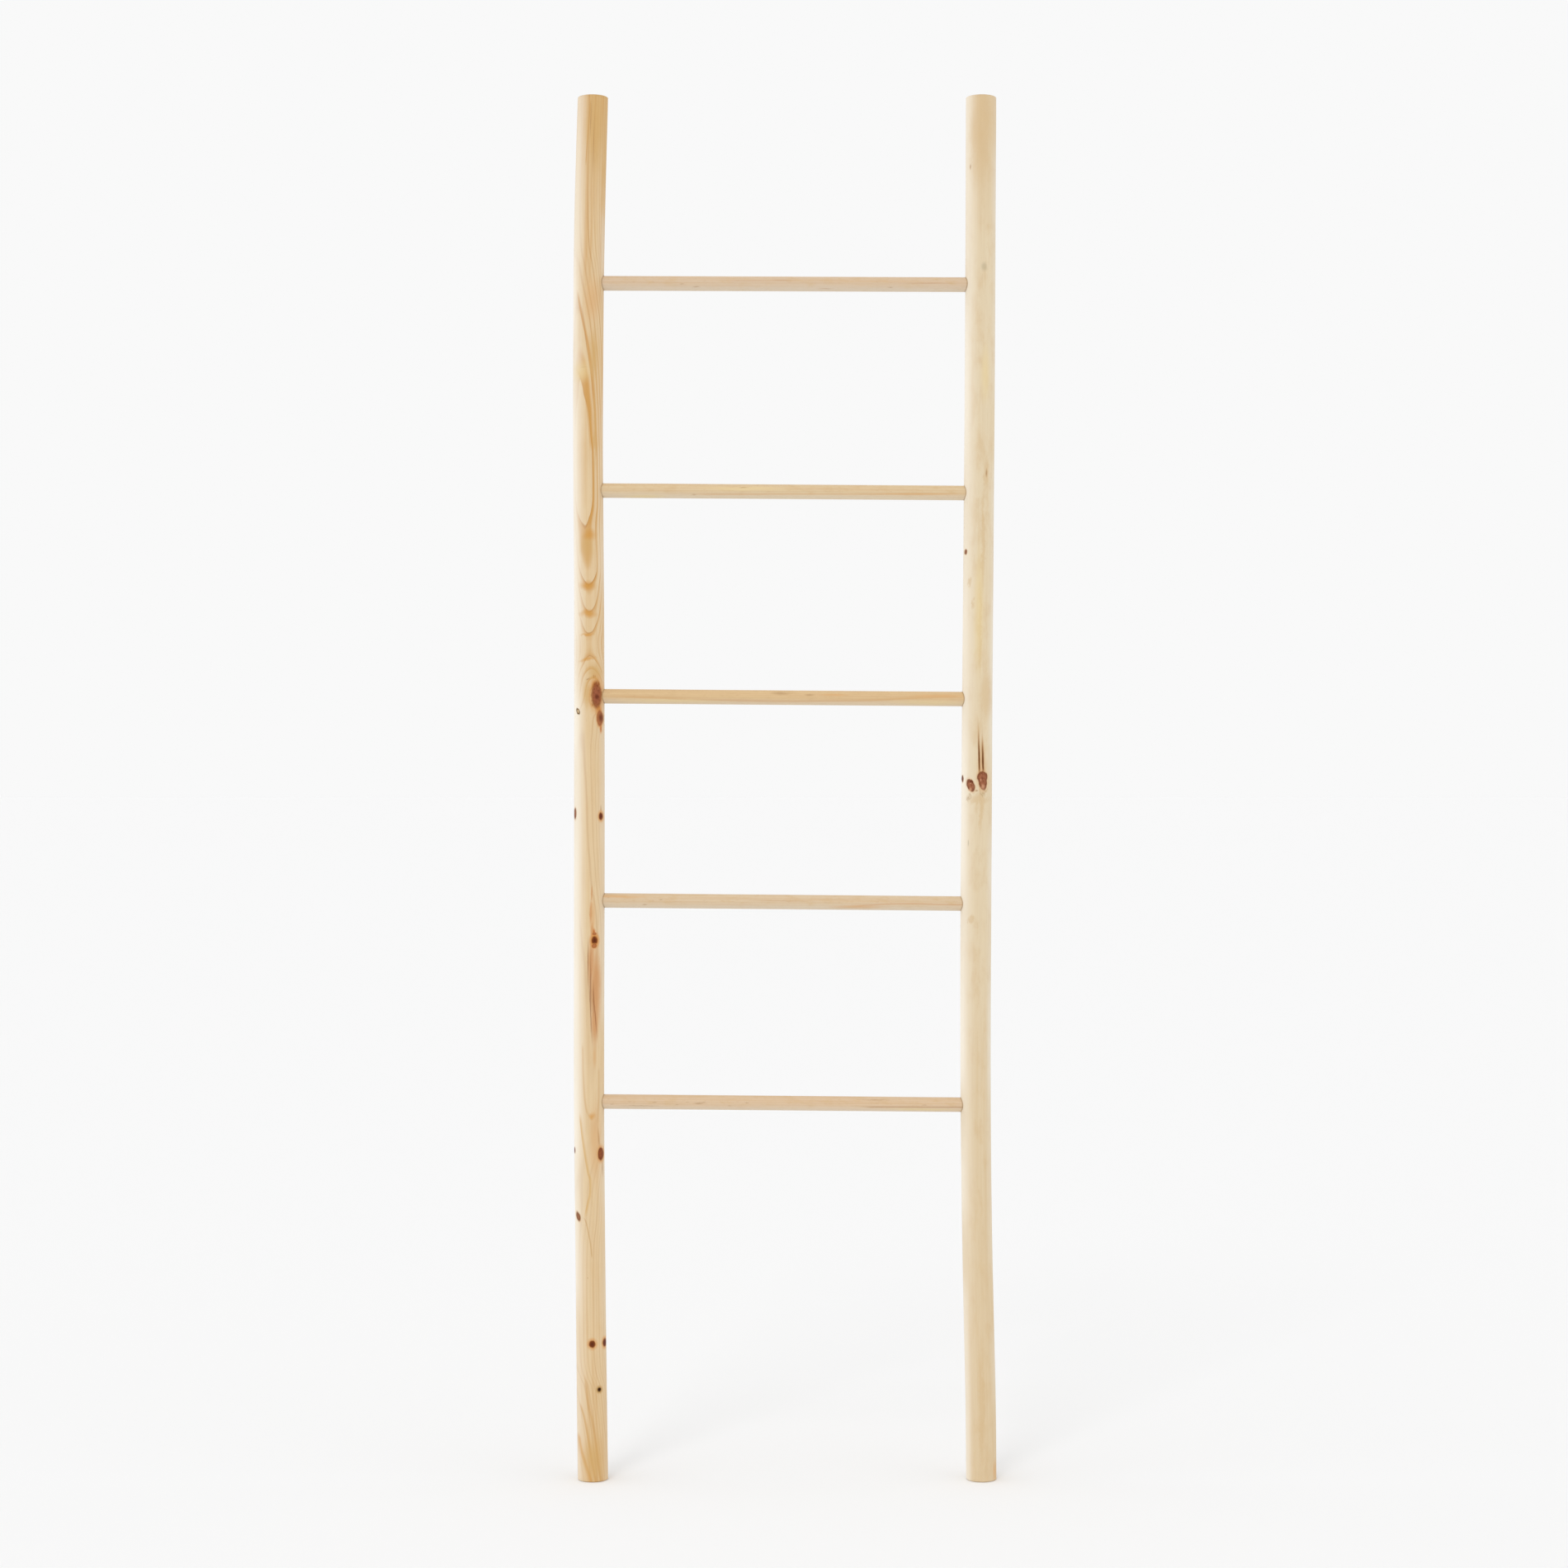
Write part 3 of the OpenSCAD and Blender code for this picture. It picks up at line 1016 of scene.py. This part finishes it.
        Seam([(1335, 5), (1353, 3.5), (1386, 0.5), (1407, -2.5), (1430, -8), (1445, -14)], 1.5, 18, 0.5,
             (202, 154, 88)),
        Seam([(1400, 8), (1418, 6.9), (1439, 4.7), (1471, 1.4), (1503, -6), (1550, -15)], 1.2, 3, 0.5,
             (196, 140, 74)),
        Seam([(1705, -5.6), (1740, -4.4), (1770, -2.6), (1795, -1.6)], 1, 1.2, 0.6, (186, 132, 62)),
    ],
)

RIGHT = Timber(
    name="right_pole_pine",
    pale=(221, 205, 175), late=(208, 180, 138), line=(182, 146, 100), tone=(210, 184, 145),
    tones=[
        (0, 0.6), (250, 0.5), (560, 0.35), (620, 0.2), (900, 0.1), (1560, 0.05), (1640, 0.3), (1800, 0.75),
    ],
    pith=45, ring=5,
    lean=[(0, 5), (400, -8), (900, 12), (1300, -4), (1800, 6)],
    lift=[(0, 0.6), (300, 0.3), (600, 0.55), (1000, 0.35), (1400, 0.6), (1800, 0.4)],
    band=[(0, 0.2), (1800, 0.12)], soft=even(0.5), edge=even(0.08),
    years=[(-8, 0.5), (-4, 0.3), (-1, 0.6), (0, 0.3), (1, 0.5)],
    warp=0.8, blotches=0.65, streaks=[(0, 0.3), (600, 0.3), (700, 0.15), (1800, 0.15)],
    # Painted light: a painted highlight on the left side, and painted sheen along the left and the right
    # rim
    painted_light_flanks=[
        PaintedLightFlank(0, -17, (236, 226, 208), [(0, 0), (150, 0.15), (300, 0.35), (430, 0.6), (1800, 0.6)]),
        PaintedLightFlank(-10, -20, (246, 240, 228), [
            (0, 0.6), (68, 0.55), (229, 0.48), (310, 0.05), (390, 0.43), (471, 0), (551, 0.68), (632, 0.6),
            (713, 0.33), (793, 0.64), (874, 0.68), (955, 0.55), (1035, 0.35), (1116, 0.45), (1196, 0.2),
            (1358, 0.5), (1438, 0.6), (1519, 0.38), (1600, 0.17), (1680, 0.3), (1800, 0.3),
        ]),
        PaintedLightFlank(10, 20, (232, 228, 218), [
            (0, 0), (68, 0), (148, 0.24), (229, 0), (310, 0.27), (471, 0.24), (551, 0.56), (632, 0.43),
            (713, 0.2), (793, 0.45), (874, 0.03), (955, 0.37), (1035, 0.53), (1116, 0.48), (1196, 0.25),
            (1277, 0.32), (1358, 0), (1438, 0.21), (1600, 0.24), (1680, 0.43), (1761, 0.1), (1800, 0.1),
        ]),
    ],
    marks={
        "tan": [
            Mark(-2, 1749, 28, 140), Mark(8.4, 1309, 8, 40), Mark(-13, 1166, 5.4, 13),
            Mark(-7.5, 1140, 4.3, 15), Mark(-6.6, 731, 8.6, 10.8),
            Mark(10, 1020, 17, 66), Mark(4.5, 1218, 5.5, 140), Mark(1.4, 1112, 4.5, 130),
            Mark(0, 100, 8, 160), Mark(4.5, 872, 6, 56), Mark(2, 885, 26, 15),
        ],
        "grey": [Mark(3.7, 1576, 10.8, 15), Mark(-11.4, 829, 2.2, 10.8)],
        "streak": [Mark(8.4, 1309, 3.2, 13), Mark(-14.2, 1707, 2.2, 8.6), Mark(-1.4, 897, 4.5, 3.6)],
        "speckled knot": [
            Mark(6.3, 909.5, 11.6, 24, -8), Mark(6, 914.5, 13.6, 15), Mark(-8.8, 904, 9.4, 17.2, -20),
        ],
        "heart": [Mark(-19.2, 912.5, 1.8, 8), Mark(-8.4, 908.5, 5, 3.6)],
        "mottle": [Mark(7, 893, 9, 5), Mark(-11, 888.5, 6, 7), Mark(11, 898, 5, 4)],
        "drip": [Mark(1.6, 938, 3.1, 82, -2), Mark(6.6, 934, 3.8, 70, -2)],
        "amber": [Mark(17.5, 14, 6, 34), Mark(5, 930, 14, 66)],
        "sap": [Mark(0, 1130, 15, 190), Mark(6, 1438, 14, 84)],
        "spark": [Mark(-9, 907, 2.2, 3.2), Mark(-9.4, 898, 4, 6), Mark(7, 902, 6, 9), Mark(4, 911, 2, 5)],
        "faint knot": [Mark(-18.8, 912, 2.2, 9.7), Mark(-17.2, 1207, 3.2, 7.5)],
    },
    behind={"split knot": [Mark(4, 918, 8, 15, 15)], "faint knot": [Mark(-7, 372, 4, 8)]},
)


def dowel_timber(number, **settings):
    """A dowel's timber, which is much like the other dowels' but for what is said here."""
    looks = {
        "pale": (215, 190, 160), "late": (206, 172, 132), "line": (176, 134, 94),
        "tone": (205, 174, 130), "tones": even(0.1), "streaks": even(0.45), "lift": even(0),
        "band": even(0.3), "soft": even(0.45), "edge": even(0.2),
        "years": [(-8, 0.3), (-4, 0.5), (0, 0.4), (1, 0.5)], "pith": 40, "ring": 3, "radius": 9.5,
        # Painted light: the flank paints the floor's light paler onto each dowel's underside
        "blotches": 0.5, "pores": 0.5, "painted_light_flanks": [PaintedLightFlank(0, -8, (232, 224, 208), even(0.4))],
    }
    return Timber(name=f"dowel_{number}_pine", **(looks | settings))


DOWEL_TIMBERS = [
    dowel_timber(
        1, lean=[(-255, -70), (0, -75), (255, -66)],
        marks={
            "fleck": [
                Mark(0.9, -202, 1.1, 6.4), Mark(0.6, -169, 1.3, 6.4), Mark(-2.5, -224, 1.3, 6.4),
                Mark(-0.5, -112, 2.6, 15), Mark(0.9, -106, 1.4, 6.4), Mark(0.9, -49, 1.6, 6.4),
                Mark(-4.4, -188, 1.3, 64.4), Mark(-3.3, -72, 1.3, 5.4), Mark(0, 182, 1.5, 7.5),
                Mark(-2.3, -140, 1.1, 5.4), Mark(1, -127, 1.1, 5.4), Mark(5.9, 117, 1.3, 42.9),
            ],
            "sap": [Mark(-5.6, 178, 4.6, 120)],
        },
        seams=[Seam([(96, -3.4), (150, -3), (200, -2.8), (252, -2.2)], 1.2, 1.6, 0.5, (160, 112, 70))],
    ),
    dowel_timber(
        2, lean=[(-255, 50), (0, 58), (255, 52)], pale=(214, 193, 163),
        marks={
            "amber": [Mark(5.8, -220, 5.4, 96), Mark(-5.3, 94, 5.4, 86)],
            "fleck": [Mark(-4.6, -182, 2.1, 6.4), Mark(2, -161, 1.5, 6.4)],
            "grain": [Mark(1.8, -5, 1.6, 86)],
        },
        seams=[
            Seam([(84, -4.2), (120, -1.9), (144, -0.6), (171, -0.1), (203, -0.9), (250, -0.9)], 1.6, 1.2,
                 0.45, (198, 142, 100)),
        ],
    ),
    dowel_timber(
        3, lean=even(-88), pale=(215, 186, 142),
        marks={
            "sap": [Mark(-5.5, -150, 6, 160), Mark(-5.2, 190, 7, 130)],
            "amber": [Mark(3.7, 198, 5.4, 86), Mark(3.7, 64, 4.3, 43)],
            "fleck": [Mark(3.5, 32, 3.2, 15), Mark(5.3, -5, 5.4, 28)],
        },
        seams=[
            Seam([(-245, -0.6), (-219, -1), (-161, -2.6), (-112, -4.1), (-54, -5.1), (-5, -5.4), (53, -4.5),
                  (105, -3.4), (171, 0.3), (250, 3.2)], 1.4, 4, 0.36, (198, 148, 92)),
        ],
    ),
    dowel_timber(
        4, lean=[(-255, 72), (0, 80), (255, 74)], pale=(217, 195, 158),
        marks={
            "sap": [Mark(-7.8, -183, 5.4, 64), Mark(2.8, -54, 6.4, 129)],
            "amber": [Mark(-2.7, 171, 2.6, 139)],
            "fleck": [Mark(-5.2, -118, 1.7, 7.5), Mark(4.4, -54, 1.6, 10.7)],
        },
        seams=[
            Seam([(-140, -5.2), (-54, -4.7), (10, -3.9), (96, -3.5), (160, -2.7), (250, -1.5)], 1, 2, 0.4,
                 (206, 152, 92)),
        ],
    ),
    dowel_timber(
        5, lean=[(-255, -60), (0, -64), (255, -58)], pale=(211, 189, 163),
        marks={
            "fleck": [Mark(-5.3, -115, 1.7, 9.7), Mark(-5.4, 137, 1.7, 7.5), Mark(-2.1, -134, 1.3, 6.4)],
            "grain": [
                Mark(2.5, -49, 1.5, 75), Mark(3.2, -5, 2.8, 36.5), Mark(0.2, 187, 2.1, 75),
                Mark(-6.8, 53, 1.3, 21.5),
            ],
        },
    ),
]


# ---------------------------------------------------------------- the ladder


for timber, (name, (left, right, radius)) in zip(DOWEL_TIMBERS, DOWELS.items()):
    dowel = make_dowel(name, left, right, radius)
    drill_for_brads(dowel, brads_of(left, radius))
    slot = "golden_dowel" if name == "dowel_3" else "dowel"
    finish_piece(dowel, name.replace("dowel", "rung"), dowel_wood(timber, left, right, radius))

for name, timber, inward in (("left_pole", LEFT, 1), ("right_pole", RIGHT, -1)):
    pole = make_pole(name, POLES[name])
    drill_sockets(pole, DOWELS.values(), inward)
    drill_for_brads(pole, [brad for brad in BRADS if brad.x * inward < 0])
    material = pole_wood(timber, POLES[name], DOWELS.values())
    finish_piece(pole, name.replace("pole", "rail"), material)

steel = brad_steel()
for material_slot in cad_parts["rung_brads"].material_slots:
    material_slot.material = steel


# ---------------------------------------------------------------- stage, light and camera

BACKGROUND = 0.947
FLOOR_WIDTH = 400
FLOOR_PAINT = 0.906
WORLD_LIGHT = 0.8
CAMERA_SIDE = -0.001
CAMERA_DISTANCE = 3.8
CAMERA_HEIGHT = 0.9055
PICTURE_WIDTH = 2.0431
SENSOR = 36


def seen_rays(tree):
    """1 for the rays that show a surface to the camera, and 0 for those that light another."""
    path = Wire(tree.nodes.new("ShaderNodeLightPath").outputs["Is Camera Ray"])
    outputs = path.socket.node.outputs
    seen = path + Wire(outputs["Is Glossy Ray"]) + Wire(outputs["Is Transmission Ray"])
    return seen.math("MINIMUM", 1)


def make_floor():
    """A wide floor in the background's tone."""
    floor = start(bpy.ops.mesh.primitive_plane_add, size=FLOOR_WIDTH)
    put_down(floor, "floor")
    material = bpy.data.materials.new("floor")
    material.use_nodes = True
    shader = material.node_tree.nodes["Principled BSDF"]
    shader.inputs["Base Color"].default_value = (FLOOR_PAINT, FLOOR_PAINT, FLOOR_PAINT, 1)
    shader.inputs["Roughness"].default_value = 1
    shader.inputs["Specular IOR Level"].default_value = 0
    floor.data.materials.append(material)


def make_world():
    """Even light from all round, and the pale background that the camera sees."""
    world = bpy.data.worlds.new("studio")
    bpy.context.scene.world = world
    world.use_nodes = True
    background = world.node_tree.nodes["Background"]
    background.inputs["Color"].default_value = (1, 1, 1, 1)
    strength = seen_rays(world.node_tree) * (BACKGROUND - WORLD_LIGHT) + WORLD_LIGHT
    world.node_tree.links.new(strength.socket, background.inputs["Strength"])


def make_sun(name, strength, width, side, height):
    """A soft lamp, width degrees across, side degrees right of the camera and height degrees up."""
    lamp = bpy.data.lights.new(name, "SUN")
    lamp.energy = strength
    lamp.angle = radians(width)
    sun = bpy.data.objects.new(name, lamp)
    bpy.context.collection.objects.link(sun)
    turn, up = radians(side), radians(height)
    towards = Vector((sin(turn) * cos(up), -cos(turn) * cos(up), sin(up)))
    sun.rotation_euler = towards.to_track_quat("Z", "Y").to_euler()


def make_camera():
    """A camera square on to the ladder, at its middle height."""
    place = (CAMERA_SIDE, -CAMERA_DISTANCE, CAMERA_HEIGHT)
    bpy.ops.object.camera_add(location=place, rotation=(pi / 2, 0, 0))
    camera = bpy.context.object
    camera.data.sensor_width = SENSOR
    camera.data.lens = SENSOR * CAMERA_DISTANCE / PICTURE_WIDTH
    bpy.context.scene.camera = camera


make_floor()
make_world()
make_sun("key", strength=0.45, width=16, side=-20, height=45)
make_sun("window", strength=1.05, width=110, side=-75, height=0)
make_sun("fill", strength=1, width=100, side=72, height=0)
make_camera()
bpy.context.scene.view_settings.view_transform = "Standard"
